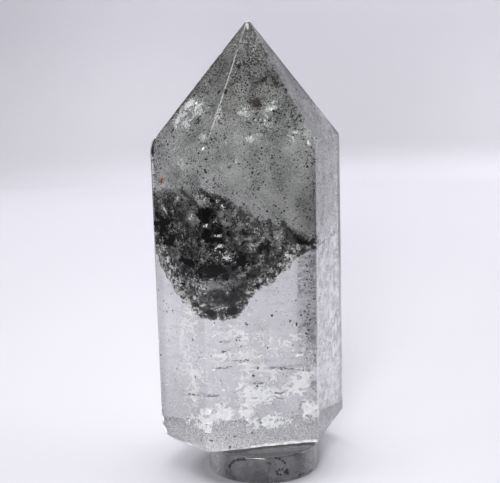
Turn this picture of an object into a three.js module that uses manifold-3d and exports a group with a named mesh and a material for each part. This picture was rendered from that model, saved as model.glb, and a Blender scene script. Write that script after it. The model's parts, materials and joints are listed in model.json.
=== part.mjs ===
// A polished six-sided quartz point with a dark chlorite cloud in it, standing on a small clear display disc.
// Millimetres and degrees, +Z up. The origin is the middle of the disc's underside.
// The quartz's widest seen face looks along -Y, and its left end is the front left edge.

import * as THREE from 'three';
import { ConvexGeometry } from 'three/addons/geometries/ConvexGeometry.js';
import { mergeVertices } from 'three/addons/utils/BufferGeometryUtils.js';
import Module from 'manifold-3d';

// the display disc
const discDiameter = 20;
const discHeight = 5;
const discRim = 0.35;
const discSides = 96;

// the quartz: where its front left base corner stands, and its column
const restGap = 0.3;
const cornerX = -11.5;
const cornerY = -5.9;
const frontSide = 20.3;
const rightSide = 19.4;
const backRightSide = 9.6;
const leftSide = 12.9;
const backSide = leftSide + frontSide - backRightSide;
const backLeftSide = rightSide + backRightSide - leftSide;
const pointHeight = 76;

// the column's faces in turn, from the front round by the right to the left: base side, and how far each leans
// out as it rises
const columnFaces = [
  { side: frontSide, lean: -0.6 },
  { side: rightSide, lean: -0.4 },
  { side: backRightSide, lean: -1.6 },
  { side: backSide, lean: 0 },
  { side: backLeftSide, lean: 1.3 },
  { side: leftSide, lean: 0 },
];

// the six end faces meet at the tip: slope from level, and how far each is turned from its column face
const tipX = 11.1;
const tipY = 12.9;
const endFaces = [
  { slope: 58.7, turn: 0 },
  { slope: 56.3, turn: 2 },
  { slope: 52.4, turn: -0.6 },
  { slope: 60.4, turn: 0.8 },
  { slope: 54.4, turn: -1 },
  { slope: 54, turn: -1.4 },
];

// a small extra facet on the front right shoulder, by the height at which it cuts the upright edge
const shoulderFacet = { azimuth: 34.7, rise: 25.7, edgeHeight: 53.5 };

// the rounded tip and the chipped base corner on the left, by how far each cut goes in or up
const tipCut = 0.45;
const cornerChips = [
  { rise: -15, height: 2.7 },
  { rise: -75, height: 0.6 },
];

// the narrow flats that polishing leaves along the edges, and the wider ones round the cut base
const edgeWidth = 0.3;
const baseEdgeWidth = 0.5;

// shallow shell-shaped chips: a place on an edge, the way out of the stone there, and how deep each goes in
const chips = [
  { at: [10.6, 0, 0], azimuth: 0, rise: -45, radius: 5, depth: 0.34 },
  { at: [2.9, 0, 0], azimuth: 0, rise: -45, radius: 1.6, depth: 0.2 },
  { at: [-2.6, 4.5, 0], azimuth: -60, rise: -45, radius: 2.6, depth: 0.26 },
  { at: [-7, 11.3, 31.4], azimuth: -90, rise: 0, radius: 1.2, depth: 0.2 },
  { at: [-7.1, 11.3, 43.8], azimuth: -90, rise: 0, radius: 0.9, depth: 0.2 },
  { at: [-7.2, 11.3, 49.6], azimuth: -90, rise: 0, radius: 1.6, depth: 0.22 },
];

// the chlorite cloud: a rough layer, thick behind the front left edge, that thins to the right and the back
// each row gives its place along the front, its upper and lower height there, and how deep it reaches
const cloudRows = [
  { x: -5.4, top: 44.6, bottom: 35.9, back: 17.5 },
  { x: -3.6, top: 46.2, bottom: 30.4, back: 18.5 },
  { x: -1.6, top: 46.6, bottom: 26.5, back: 18 },
  { x: 0.9, top: 46.9, bottom: 24.4, back: 16.5 },
  { x: 3.6, top: 45.6, bottom: 23.7, back: 15.2 },
  { x: 6, top: 44.1, bottom: 24.3, back: 14.2 },
  { x: 8, top: 42.6, bottom: 27.3, back: 13.2 },
  { x: 10.4, top: 41, bottom: 29.2, back: 12.2 },
  { x: 13, top: 39.9, bottom: 30.3, back: 11 },
  { x: 15.4, top: 39, bottom: 32.9, back: 9.6 },
  { x: 17.8, top: 38.2, bottom: 34.8, back: 7.8 },
  { x: 19.2, top: 37.4, bottom: 35.8, back: 5.6 },
];
const cloudWall = 1.7;
const cloudColumns = 34;
const cloudDepthSteps = 9;
const cloudRise = 1.2;
const cloudTaper = 0.85;
const pocketGap = 0.5;

// the cloud's front rim is rounded and smoother than the rest: its share of the height and of the lumps
const cloudNose = 0.86;
const noseLumps = 0.3;

// the cloud's lumps: the height of the tallest, and waves of a few millimetres that add up to them
const cloudRough = 0.45;
const lumpWaves = [
  { alongX: 1.9, alongY: 0.8, size: 1, phase: 1 },
  { alongX: -2.3, alongY: 3.1, size: 0.7, phase: 2 },
  { alongX: 4.7, alongY: 3.9, size: 0.5, phase: 3 },
];
const lowerPhase = 2;
const fullLumpHalf = 4;

// how finely planes are told apart, corners are matched and edges are found long enough for a flat
const parallelLimit = 1e-6;
const cornerSlack = 1e-5;
const cornerMatch = 1e-4;
const shortestEdgeInWidths = 3;
const downwardLimit = -0.9;
const chipDetail = 2;

const rad = THREE.MathUtils.degToRad;
const wasm = await Module();
wasm.setup();

// a half-space that keeps what lies behind a plane: azimuth 0 looks along -Y and 90 along +X
function plane(azimuth, rise, point) {
  const level = Math.cos(rad(rise));
  const normal = new THREE.Vector3(
    Math.sin(rad(azimuth)) * level,
    -Math.cos(rad(azimuth)) * level,
    Math.sin(rad(rise)),
  );
  return { normal, offset: normal.dot(point) };
}

// the column's base corners, walked from the front left one
function baseCorners() {
  const corners = [new THREE.Vector3(0, 0, 0)];
  columnFaces.forEach((face, i) => {
    const heading = rad(60 * i);
    const step = new THREE.Vector3(Math.cos(heading), Math.sin(heading), 0).multiplyScalar(face.side);
    corners.push(corners[i].clone().add(step));
  });
  return corners;
}

function meetingPoint(a, b, c) {
  const across = new THREE.Vector3().crossVectors(b.normal, c.normal);
  const volume = a.normal.dot(across);
  if (Math.abs(volume) < parallelLimit) {
    return null;
  }
  return across.multiplyScalar(a.offset)
    .add(new THREE.Vector3().crossVectors(c.normal, a.normal).multiplyScalar(b.offset))
    .add(new THREE.Vector3().crossVectors(a.normal, b.normal).multiplyScalar(c.offset))
    .divideScalar(volume);
}

// every corner of the solid that the planes bound
function cornersOf(planes) {
  const found = [];
  for (let i = 0; i < planes.length; i += 1) {
    for (let j = i + 1; j < planes.length; j += 1) {
      for (let k = j + 1; k < planes.length; k += 1) {
        const at = meetingPoint(planes[i], planes[j], planes[k]);
        if (at && planes.every((p) => p.normal.dot(at) < p.offset + cornerSlack)) {
          found.push(at);
        }
      }
    }
  }
  return found;
}

// a flat of the given width along every edge where two of the planes meet
function bevelPlanes(planes, widthOf) {
  const corners = cornersOf(planes);
  const bevels = [];
  for (let i = 0; i < planes.length; i += 1) {
    for (let j = i + 1; j < planes.length; j += 1) {
      const shared = corners.filter((at) => [i, j].every(
        (k) => planes[k].normal.dot(at) > planes[k].offset - cornerMatch,
      ));
      const length = shared.length > 1 ? shared[0].distanceTo(shared[shared.length - 1]) : 0;
      const width = widthOf(planes[i], planes[j]);
      if (length > shortestEdgeInWidths * width) {
        const normal = planes[i].normal.clone().add(planes[j].normal).normalize();
        const turned = planes[i].normal.angleTo(planes[j].normal);
        bevels.push({ normal, offset: normal.dot(shared[0]) - (width / 2) * Math.tan(turned / 2) });
      }
    }
  }
  return bevels;
}

function crystalPlanes() {
  const corners = baseCorners();
  const tip = new THREE.Vector3(tipX, tipY, pointHeight);
  const column = columnFaces.map((face, i) => plane(60 * i, -face.lean, corners[i]));
  const ends = endFaces.map((face, i) => plane(60 * i + face.turn, 90 - face.slope, tip));
  const base = { normal: new THREE.Vector3(0, 0, -1), offset: 0 };
  const level = { normal: new THREE.Vector3(0, 0, 1), offset: shoulderFacet.edgeHeight };
  const onEdge = meetingPoint(column[0], column[1], level);
  const shoulder = plane(shoulderFacet.azimuth, shoulderFacet.rise, onEdge);
  const leftCorner = corners[5];
  const corner = cornerChips.map((chip) => plane(-90, chip.rise, leftCorner.clone().setZ(chip.height)));
  const tipFlat = { normal: new THREE.Vector3(0, 0, 1), offset: pointHeight - tipCut };
  return [...column, ...ends, base, shoulder, ...corner, tipFlat];
}

function convexSolid(planes) {
  return new ConvexGeometry(cornersOf(planes));
}

function toManifold(geometry) {
  const bare = geometry.clone();
  bare.deleteAttribute('normal');
  bare.deleteAttribute('uv');
  const merged = mergeVertices(bare, cornerMatch);
  return new wasm.Manifold(new wasm.Mesh({
    numProp: 3,
    vertProperties: new Float32Array(merged.attributes.position.array),
    triVerts: new Uint32Array(merged.index.array),
  }));
}

function fromManifold(solid) {
  const mesh = solid.getMesh();
  const geometry = new THREE.BufferGeometry();
  geometry.setAttribute('position', new THREE.BufferAttribute(new Float32Array(mesh.vertProperties), 3));
  geometry.setIndex(new THREE.BufferAttribute(new Uint32Array(mesh.triVerts), 1));
  const flat = geometry.toNonIndexed();
  flat.computeVertexNormals();
  return flat;
}

// a value from the rows at x, along straight lines from row to row
function cloudAt(x, key) {
  const last = cloudRows.length - 1;
  if (x <= cloudRows[0].x) {
    return cloudRows[0][key];
  }
  if (x >= cloudRows[last].x) {
    return cloudRows[last][key];
  }
  const i = cloudRows.findIndex((row) => row.x > x) - 1;
  const share = (x - cloudRows[i].x) / (cloudRows[i + 1].x - cloudRows[i].x);
  return THREE.MathUtils.lerp(cloudRows[i][key], cloudRows[i + 1][key], share);
}

// where the layer starts, one wall behind the left face or the front face
function cloudFront(x) {
  return Math.max(cloudWall, (cloudWall - x * Math.sin(rad(60))) / Math.cos(rad(60)));
}

// the lumps' height at a place, the same in each run
function lumpAt(x, y, phase) {
  const height = (wave) => wave.size * Math.sin(wave.alongX * x + wave.alongY * y + wave.phase * phase);
  return cloudRough * lumpWaves.reduce((sum, wave) => sum + height(wave), 0);
}

// the layer as a closed body: an upper and a lower sheet over one grid, joined round their rim
// grow pushes its skin out, which makes the pocket that it lies in
function cloudSolid(grow) {
  const first = cloudRows[0].x;
  const last = cloudRows[cloudRows.length - 1].x;
  const columns = cloudColumns + 1;
  const rows = cloudDepthSteps + 1;
  const positions = [];
  for (const upper of [true, false]) {
    for (let i = 0; i < columns; i += 1) {
      const x = THREE.MathUtils.lerp(first, last, i / cloudColumns);
      const near = cloudFront(x);
      const far = cloudAt(x, 'back');
      const middle = (cloudAt(x, 'top') + cloudAt(x, 'bottom')) / 2;
      const half = (cloudAt(x, 'top') - cloudAt(x, 'bottom')) / 2;
      for (let j = 0; j < rows; j += 1) {
        const depth = j / cloudDepthSteps;
        const y = THREE.MathUtils.lerp(near, far, depth);
        const thin = (j === 0 ? cloudNose : 1) * Math.sqrt(1 - cloudTaper * depth * depth);
        const lumps = Math.min(1, half / fullLumpHalf) * thin * (j === 0 ? noseLumps : 1);
        const rise = half * thin + lumpAt(x, y, upper ? 0 : lowerPhase) * lumps;
        positions.push(x, y, middle + cloudRise * depth + (upper ? rise : -rise));
      }
    }
  }
  const lower = columns * rows;
  const index = [];
  const quad = (a, b, c, d) => index.push(a, b, c, a, c, d);
  for (let i = 0; i < cloudColumns; i += 1) {
    for (let j = 0; j < cloudDepthSteps; j += 1) {
      const a = i * rows + j;
      quad(a, a + rows, a + rows + 1, a + 1);
      quad(lower + a, lower + a + 1, lower + a + rows + 1, lower + a + rows);
    }
    const near = i * rows;
    const far = near + cloudDepthSteps;
    quad(lower + near, lower + near + rows, near + rows, near);
    quad(far, far + rows, lower + far + rows, lower + far);
  }
  for (let j = 0; j < cloudDepthSteps; j += 1) {
    const end = cloudColumns * rows + j;
    quad(j, j + 1, lower + j + 1, lower + j);
    quad(end, lower + end, lower + end + 1, end + 1);
  }
  const geometry = new THREE.BufferGeometry();
  geometry.setAttribute('position', new THREE.Float32BufferAttribute(positions, 3));
  geometry.setIndex(index);
  geometry.computeVertexNormals();
  const { position, normal } = geometry.attributes;
  for (let i = 0; i < position.count; i += 1) {
    position.setXYZ(
      i,
      position.getX(i) + grow * normal.getX(i),
      position.getY(i) + grow * normal.getY(i),
      position.getZ(i) + grow * normal.getZ(i),
    );
  }
  return toManifold(geometry);
}

function chipCutter({ at, azimuth, rise, radius, depth }) {
  const place = new THREE.Vector3(...at);
  place.addScaledVector(plane(azimuth, rise, place).normal, radius - depth);
  const ball = new THREE.IcosahedronGeometry(radius, chipDetail);
  ball.translate(place.x, place.y, place.z);
  return toManifold(ball);
}

function quartzGeometries() {
  const planes = crystalPlanes();
  const atBase = (a, b) => Math.min(a.normal.z, b.normal.z) < downwardLimit;
  const widthOf = (a, b) => (atBase(a, b) ? baseEdgeWidth : edgeWidth);
  const whole = toManifold(convexSolid([...planes, ...bevelPlanes(planes, widthOf)]));
  const cloud = cloudSolid(0).intersect(whole);
  let quartz = whole.subtract(cloudSolid(pocketGap));
  chips.forEach((chip) => {
    quartz = quartz.subtract(chipCutter(chip));
  });
  return { quartz: fromManifold(quartz), cloud: fromManifold(cloud) };
}

// the disc's half section, turned about its axis
function discGeometry() {
  const radius = discDiameter / 2;
  const profile = [
    new THREE.Vector2(0, 0),
    new THREE.Vector2(radius - discRim, 0),
    new THREE.Vector2(radius, discRim),
    new THREE.Vector2(radius, discHeight - discRim),
    new THREE.Vector2(radius - discRim, discHeight),
    new THREE.Vector2(0, discHeight),
  ];
  const geometry = new THREE.LatheGeometry(profile, discSides);
  geometry.rotateX(Math.PI / 2);
  return fromManifold(toManifold(geometry));
}

function namedMesh(name, geometry, color, roughness, opacity) {
  const material = new THREE.MeshStandardMaterial({
    color,
    roughness,
    metalness: 0,
    transparent: opacity < 1,
    opacity,
  });
  const mesh = new THREE.Mesh(geometry, material);
  mesh.name = name;
  return mesh;
}

const { quartz, cloud } = quartzGeometries();
const stone = new THREE.Group();
stone.position.set(cornerX, cornerY, discHeight + restGap);
stone.add(namedMesh('quartz_point', quartz, 0xc4c6c8, 0.06, 0.45));
stone.add(namedMesh('chlorite_cloud', cloud, 0x32362f, 0.85, 1));

const object = new THREE.Group();
object.add(stone);
object.add(namedMesh('display_disc', discGeometry(), 0x8d8e92, 0.1, 0.5));

export default object;
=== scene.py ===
import json
import math
from itertools import combinations

import bmesh
import bpy
import numpy as np
from mathutils import Euler, Matrix, Vector, noise

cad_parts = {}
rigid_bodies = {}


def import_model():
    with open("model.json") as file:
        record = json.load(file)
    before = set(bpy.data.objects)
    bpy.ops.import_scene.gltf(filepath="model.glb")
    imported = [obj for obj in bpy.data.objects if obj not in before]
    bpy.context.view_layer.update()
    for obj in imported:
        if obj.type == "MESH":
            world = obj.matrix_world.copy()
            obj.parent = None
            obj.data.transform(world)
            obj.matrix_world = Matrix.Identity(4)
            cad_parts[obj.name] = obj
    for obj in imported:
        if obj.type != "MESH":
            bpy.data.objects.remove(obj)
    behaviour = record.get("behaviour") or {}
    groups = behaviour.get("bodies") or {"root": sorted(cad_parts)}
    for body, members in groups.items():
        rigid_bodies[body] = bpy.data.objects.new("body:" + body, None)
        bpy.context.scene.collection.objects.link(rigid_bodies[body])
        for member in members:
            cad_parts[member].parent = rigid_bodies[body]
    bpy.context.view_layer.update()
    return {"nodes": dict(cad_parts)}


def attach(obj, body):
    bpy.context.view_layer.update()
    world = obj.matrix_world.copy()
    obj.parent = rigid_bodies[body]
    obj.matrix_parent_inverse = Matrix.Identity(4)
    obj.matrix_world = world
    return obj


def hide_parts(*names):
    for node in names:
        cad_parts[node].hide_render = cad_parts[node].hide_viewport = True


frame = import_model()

mm = 0.001  # every size below is in millimetres and degrees
print("frame loaded:", sorted(frame["nodes"]))


# Camera, at the photo's viewing angle.
view = {
    "place": (-52.58, -229.55, 90.94),
    "heading": -12.418,
    "down": 11.715,
    "roll": -0.739,
    "lens": 96.68,
    "sensor": 36,
    "pixels": (500, 483),
    "nearest": 10,
    "farthest": 20000,
}


def cameraTurn():
    turn = Euler((math.radians(90 - view["down"]), 0, math.radians(view["heading"]))).to_matrix()
    return turn @ Matrix.Rotation(math.radians(view["roll"]), 3, "Z")


def pixelWay(pixel):
    # the way in which the camera looks through a pixel of the photo
    width, height = view["pixels"]
    scale = view["sensor"] / view["lens"] / width
    way = Vector(((pixel[0] - width / 2) * scale, (height / 2 - pixel[1]) * scale, -1))
    return np.array((cameraTurn() @ way).normalized())


def addCamera():
    bpy.ops.object.camera_add(location=Vector(view["place"]) * mm)
    camera = bpy.context.object
    camera.name = "photoCamera"
    camera.rotation_euler = cameraTurn().to_euler()
    camera.data.lens = view["lens"]
    camera.data.sensor_width = view["sensor"]
    camera.data.clip_start = view["nearest"] * mm
    camera.data.clip_end = view["farthest"] * mm
    bpy.context.scene.camera = camera


addCamera()
print("camera placed")


# Small helpers for modelling and for materials.
def clearSelection():
    if bpy.context.object and bpy.context.object.mode != "OBJECT":
        bpy.ops.object.mode_set(mode="OBJECT")
    bpy.ops.object.select_all(action="DESELECT")


def activate(piece):
    clearSelection()
    piece.select_set(True)
    bpy.context.view_layer.objects.active = piece


def nameIt(name):
    piece = bpy.context.object
    piece.name = piece.data.name = name
    return piece


def applyModifiers(piece):
    activate(piece)
    for modifier in list(piece.modifiers):
        bpy.ops.object.modifier_apply(modifier=modifier.name)


def setPlace(piece):
    activate(piece)
    bpy.ops.object.transform_apply(location=True, rotation=True, scale=True)


def selectWhere(piece, kind, wanted):
    # selects the faces or edges that pass a test
    bpy.ops.mesh.select_all(action="DESELECT")
    mesh = bmesh.from_edit_mesh(piece.data)
    for part in getattr(mesh, kind):
        if wanted(part):
            part.select_set(True)
    bmesh.update_edit_mesh(piece.data)


def newMaterial(name, sockets):
    material = bpy.data.materials.new(name)
    material.use_nodes = True
    shader = shaderOf(material)
    for socket, value in sockets.items():
        shader.inputs[socket].default_value = value
    return material


def shaderOf(material):
    return material.node_tree.nodes["Principled BSDF"]


def addNode(material, kind, sockets=None, **settings):
    node = material.node_tree.nodes.new(kind)
    for key, value in settings.items():
        setattr(node, key, value)
    for socket, value in (sockets or {}).items():
        feed(material, value, node.inputs[socket])
    return node


def feed(material, value, socket):
    # a socket is linked, and a number or colour is set
    if isinstance(value, bpy.types.NodeSocket):
        material.node_tree.links.new(value, socket)
    else:
        socket.default_value = value


def paint(material, colour):
    feed(material, colour, shaderOf(material).inputs["Base Color"])
    return material


def maths(material, operation, first, second=0.0):
    return addNode(material, "ShaderNodeMath", {0: first, 1: second}, operation=operation).outputs[0]


def plus(material, first, second):
    return maths(material, "ADD", first, second)


def times(material, *values):
    product = values[0]
    for value in values[1:]:
        product = maths(material, "MULTIPLY", product, value)
    return product


def measured(material, operation, first, second=(0, 0, 0)):
    # the length, distance or dot product of vectors
    sockets = {0: first, 1: tuple(second)}
    return addNode(material, "ShaderNodeVectorMath", sockets, operation=operation).outputs["Value"]


def objectSpace(material, start=(0, 0, 0)):
    # the place in millimetres from a start, and its three parts
    metres = addNode(material, "ShaderNodeTexCoord").outputs["Object"]
    shifted = {"Vector": metres, "Location": tuple(-np.array(start, float)), "Scale": (1 / mm,) * 3}
    place = addNode(material, "ShaderNodeMapping", shifted).outputs["Vector"]
    return place, addNode(material, "ShaderNodeSeparateXYZ", {"Vector": place}).outputs


def reachFrom(material, place, centre, sizes):
    # the distance from a centre, as a share of these half sizes
    sizes = np.array(sizes, float)
    shifted = {"Vector": place, "Scale": tuple(1 / sizes), "Location": tuple(-np.array(centre) / sizes)}
    offset = addNode(material, "ShaderNodeMapping", shifted).outputs["Vector"]
    return measured(material, "LENGTH", offset)


def share(material, value, low, high):
    # rises smoothly from 0 to 1 between the two values, or falls where low is the larger
    ends = {"Value": value, "From Min": min(low, high), "From Max": max(low, high)}
    ends["To Min"], ends["To Max"] = (1, 0) if low > high else (0, 1)
    node = addNode(material, "ShaderNodeMapRange", ends, interpolation_type="SMOOTHSTEP")
    return node.outputs["Result"]


def mixed(material, amount, first, second, way="MIX"):
    sockets = {0: amount, 6: first, 7: second}
    return addNode(material, "ShaderNodeMix", sockets, data_type="RGBA", blend_type=way).outputs[2]


def tinted(material, colour, tint):
    return mixed(material, 1.0, colour, tint, "MULTIPLY")


def grey(tone):
    return (tone, tone, tone, 1)


def ramp(material, value, stops):
    node = addNode(material, "ShaderNodeValToRGB", {"Fac": value})
    band = node.color_ramp
    for _ in stops[2:]:
        band.elements.new(0.5)
    for element, (at, colour) in zip(band.elements, stops):
        element.position = at
    for element, (at, colour) in zip(band.elements, stops):
        element.color = (*colour, 1) if isinstance(colour, tuple) else grey(colour)
    return node.outputs["Color"]


def stretched(material, place, stretch):
    return addNode(material, "ShaderNodeMapping", {"Vector": place, "Scale": stretch}).outputs["Vector"]


def pattern(material, place, size, detail=6, roughness=0.6):
    # noise whose largest features are about this many millimetres across
    sockets = {"Vector": place, "Scale": 1 / size, "Detail": detail, "Roughness": roughness}
    return addNode(material, "ShaderNodeTexNoise", sockets).outputs["Fac"]


def addGlassBody(material, colour, density):
    body = addNode(material, "ShaderNodeVolumeAbsorption", {"Color": (*colour, 1), "Density": density})
    feed(material, body.outputs["Volume"], material.node_tree.nodes["Material Output"].inputs["Volume"])


# The studio: one pale sheet that runs from the floor up into a backdrop, and soft boxes.
studio = {
    "floorDrop": 0.03,  # under the disc's foot, so that the two share no plane
    "near": 900,
    "far": 380,
    "halfWidth": 1500,
    "wallHeight": 1300,
    "bend": 62,
    "bendSteps": 24,
    "paper": (0.938, 0.925, 1.0),
    "paintedLightAlong": (-100, 360),  # painted light and shade: the paper is graded by these tones, from the near to the far place, darker near the camera and into the bend
    "tones": ((0.09, 0.84), (0.22, 0.87), (0.43, 0.95), (0.83, 1.0), (0.92, 0.96), (1.0, 0.76)),
    "wallPaintedShade": 0.72,
    "wallRise": (0, 14),  # it turns to the wall's painted shade over these heights
    # painted shadow: the paper is darker round the disc's foot, within this reach of this centre
    "footCentre": (-1.5, 0, 0),
    "footReach": 25,
    "footPaintedShadow": ((0.4, 0.42), (0.5, 0.72), (0.6, 0.88), (0.72, 0.97), (0.9, 1.0)),
    "patchPlace": (-240, 85, 0),  # a grey patch left of the view, which the left face mirrors
    "patchReach": (126, 74, 40),
    "patchEdge": (1.15, 0.85),
    "patchTone": 0.25,
    "world": (0.86, 0.86, 0.9),
    "worldStrength": 0.07,
}
softBoxes = {  # place, aim, size, power and spread
    "frontBox": ((-110, -300, 70), (0, 0, 45), (120, 80), 0.26, 56),
    "frontLeftBox": ((-230, -240, 70), (0, 0, 45), (120, 80), 0.06, 56),
    "leftBox": ((-320, -60, 90), (0, 0, 45), (160, 90), 0.02, 56),
    "rightBox": ((320, -80, 90), (0, 0, 45), (160, 90), 0.05, 56),
    "rightBackBox": ((560, 60, 260), (0, 0, 40), (300, 520), 0.7, 180),
    "topBox": ((0, 225, 800), (0, 225, 0), (1000, 400), 1.06, 60),
}


def makePaper():
    paper = newMaterial("paleStudioPaper", {"Roughness": 0.9, "Specular IOR Level": 0.2})
    place, parts = objectSpace(paper)
    # painted light and shade: the paper is graded darker near the camera, into the bend and up the wall
    start, end = studio["paintedLightAlong"]
    along = maths(paper, "DIVIDE", maths(paper, "SUBTRACT", parts[1], start), end - start)
    rising = share(paper, parts[2], *studio["wallRise"])
    graded = mixed(paper, rising, ramp(paper, along, studio["tones"]), grey(studio["wallPaintedShade"]))
    # painted shadow round the disc's foot
    footShadowReach = reachFrom(paper, place, studio["footCentre"], (studio["footReach"],) * 3)
    graded = tinted(paper, graded, ramp(paper, footShadowReach, studio["footPaintedShadow"]))
    fromPatch = reachFrom(paper, place, studio["patchPlace"], studio["patchReach"])
    inPatch = share(paper, fromPatch, *studio["patchEdge"])
    graded = mixed(paper, inPatch, graded, grey(studio["patchTone"]))
    return paint(paper, tinted(paper, graded, (*studio["paper"], 1)))


def addStudio():
    clearSelection()
    width, depth = 2 * studio["halfWidth"], studio["near"] + studio["far"]
    middle = (studio["far"] - studio["near"]) / 2
    bpy.ops.mesh.primitive_plane_add(size=1, location=(0, middle * mm, -studio["floorDrop"] * mm))
    sheet = nameIt("paperSheet")
    sheet.scale = (width * mm, depth * mm, 1)
    setPlace(sheet)
    bpy.ops.object.mode_set(mode="EDIT")
    selectWhere(sheet, "edges", lambda edge: min(vert.co.y for vert in edge.verts) > 0)
    bpy.ops.mesh.extrude_edges_move(TRANSFORM_OT_translate={"value": (0, 0, studio["wallHeight"] * mm)})
    selectWhere(sheet, "edges", lambda edge: len(edge.link_faces) == 2)
    bpy.ops.mesh.bevel(offset=studio["bend"] * mm, segments=studio["bendSteps"], affect="EDGES")
    bpy.ops.object.mode_set(mode="OBJECT")
    bpy.ops.object.shade_smooth()
    sheet.rotation_euler.z = math.radians(view["heading"])
    setPlace(sheet)
    sheet.data.materials.append(makePaper())


def addSoftBox(name, place, aim, size, power, spread):
    clearSelection()
    bpy.ops.object.light_add(type="AREA", location=Vector(place) * mm)
    lamp = nameIt(name)
    lamp.data.shape = "RECTANGLE"
    lamp.data.size, lamp.data.size_y = (side * mm for side in size)
    lamp.data.energy = power
    lamp.data.spread = math.radians(spread)
    lamp.rotation_euler = (Vector(aim) - Vector(place)).to_track_quat("-Z", "Y").to_euler()
    lamp.visible_camera = False


def addWorld():
    world = bpy.data.worlds.new("softSurroundings")
    world.use_nodes = True
    bpy.context.scene.world = world
    ground = world.node_tree.nodes["Background"]
    ground.inputs["Color"].default_value = (*studio["world"], 1)
    ground.inputs["Strength"].default_value = studio["worldStrength"]


addStudio()
for boxName, box in softBoxes.items():
    addSoftBox(boxName, *box)
addWorld()
bpy.context.scene.view_settings.view_transform = "Standard"
print("studio built")


# The quartz: a six-sided column polished flat, with six end faces, a shoulder facet and a cut base.
stone = {
    "corner": (-11.5, -5.9, 5.3),  # its front left base corner
    "sides": (20.3, 19.4, 9.6, 23.6, 16.1, 12.9),  # round the base, from the front to the left
    "leans": (-0.6, -0.4, -1.6, 0, 1.3, 0),  # how far each side leans out as it rises
    "tip": (11.1, 12.9, 76),
    "ends": ((58.7, 0), (56.3, 2), (52.4, -0.6), (60.4, 0.8), (54.4, -1), (54, -1.4)),  # slope, turn
    "shoulder": (34.7, 25.7, 53.5),  # azimuth, rise, and where it cuts the upright edge
    "tipCut": 0.45,
    "cornerChips": ((-15, 2.7), (-75, 0.6)),  # rise and height of the two cuts at the left base corner
    "edgeRadius": 0.34,
    "edgeSteps": 3,
    "baseRadius": 0.55,
    "hiddenBaseRadius": 0.12,
    "shoulderRadius": 4.6,  # the front and left shoulders are polished round
    "shoulderSteps": 9,
    # worn edges: whitish, and also painted highlight lines along these edges
    "wornGlintRadius": 0.28,
    "wornGlintEdges": ({"frontEnd", "leftEnd"}, {"shoulder", "rightEnd"}, {"shoulder", "right"}),
    "smoothEdges": (
        {"front", "left"}, {"front", "right"}, {"frontEnd", "leftEnd"}, {"frontEnd", "rightEnd"},
    ),
    "bend": 1.544,  # how strongly quartz bends light
    "blank": 160,  # the block that it is cut from
    "middle": (11.6, 12.6, 38),
    "touching": 0.0001,  # places this near lie on a face
    "shortest": 0.3,  # an edge shorter than this isn't rounded
}
sideNames = ("front", "right", "backRight", "back", "backLeft", "left")
corner = np.array(stone["corner"], float)


def outward(azimuth, rise):
    a, r = math.radians(azimuth), math.radians(rise)
    return np.array([math.sin(a) * math.cos(r), -math.cos(a) * math.cos(r), math.sin(r)])


def level(azimuth):
    return np.array([math.cos(math.radians(azimuth)), math.sin(math.radians(azimuth)), 0])


def flat(start, azimuth, rise):
    # a face: where its measure starts, its level direction, the way out, and its distance
    normal = outward(azimuth, rise)
    return {"start": start, "along": level(azimuth), "out": normal, "at": normal @ start}


def stoneFaces():
    faces = {}
    start = np.zeros(3)
    starts = []
    for i, side in enumerate(stone["sides"]):
        starts.append(start)
        faces[sideNames[i]] = flat(start, 60 * i, -stone["leans"][i])
        start = start + side * level(60 * i)
    tip = np.array(stone["tip"], float)
    for i, (slope, turn) in enumerate(stone["ends"]):
        faces[sideNames[i] + "End"] = flat(tip, 60 * i + turn, 90 - slope)
    azimuth, rise, height = stone["shoulder"]
    pair = [faces["front"], faces["right"]]
    onEdge = np.linalg.solve(
        np.array([pair[0]["out"], pair[1]["out"], [0, 0, 1]]),
        np.array([pair[0]["at"], pair[1]["at"], height]),
    )
    faces["shoulder"] = flat(onEdge, azimuth, rise)
    for i, (rise, height) in enumerate(stone["cornerChips"]):
        faces[f"cornerChip{i}"] = flat(starts[5] + np.array([0, 0, height]), -90, rise)
    faces["base"] = flat(np.zeros(3), 0, -90)
    faces["tipCut"] = flat(tip - np.array([0, 0, stone["tipCut"]]), 0, 90)
    return faces


faces = stoneFaces()
outs = np.array([face["out"] for face in faces.values()])
ats = np.array([face["at"] for face in faces.values()])


def stoneCorners():
    found = []
    for trio in combinations(range(len(outs)), 3):
        normals = outs[list(trio)]
        if abs(np.linalg.det(normals)) > 1e-6:
            at = np.linalg.solve(normals, ats[list(trio)])
            if np.all(outs @ at < ats + 0.1 * stone["touching"]):
                found.append(at)
    return np.array(found)


corners = stoneCorners()


def sharedCorners(i, j):
    # the stone's corners on the edge between two of its faces
    return [c for c in corners if min((outs @ c - ats)[[i, j]]) > -stone["touching"]]


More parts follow.
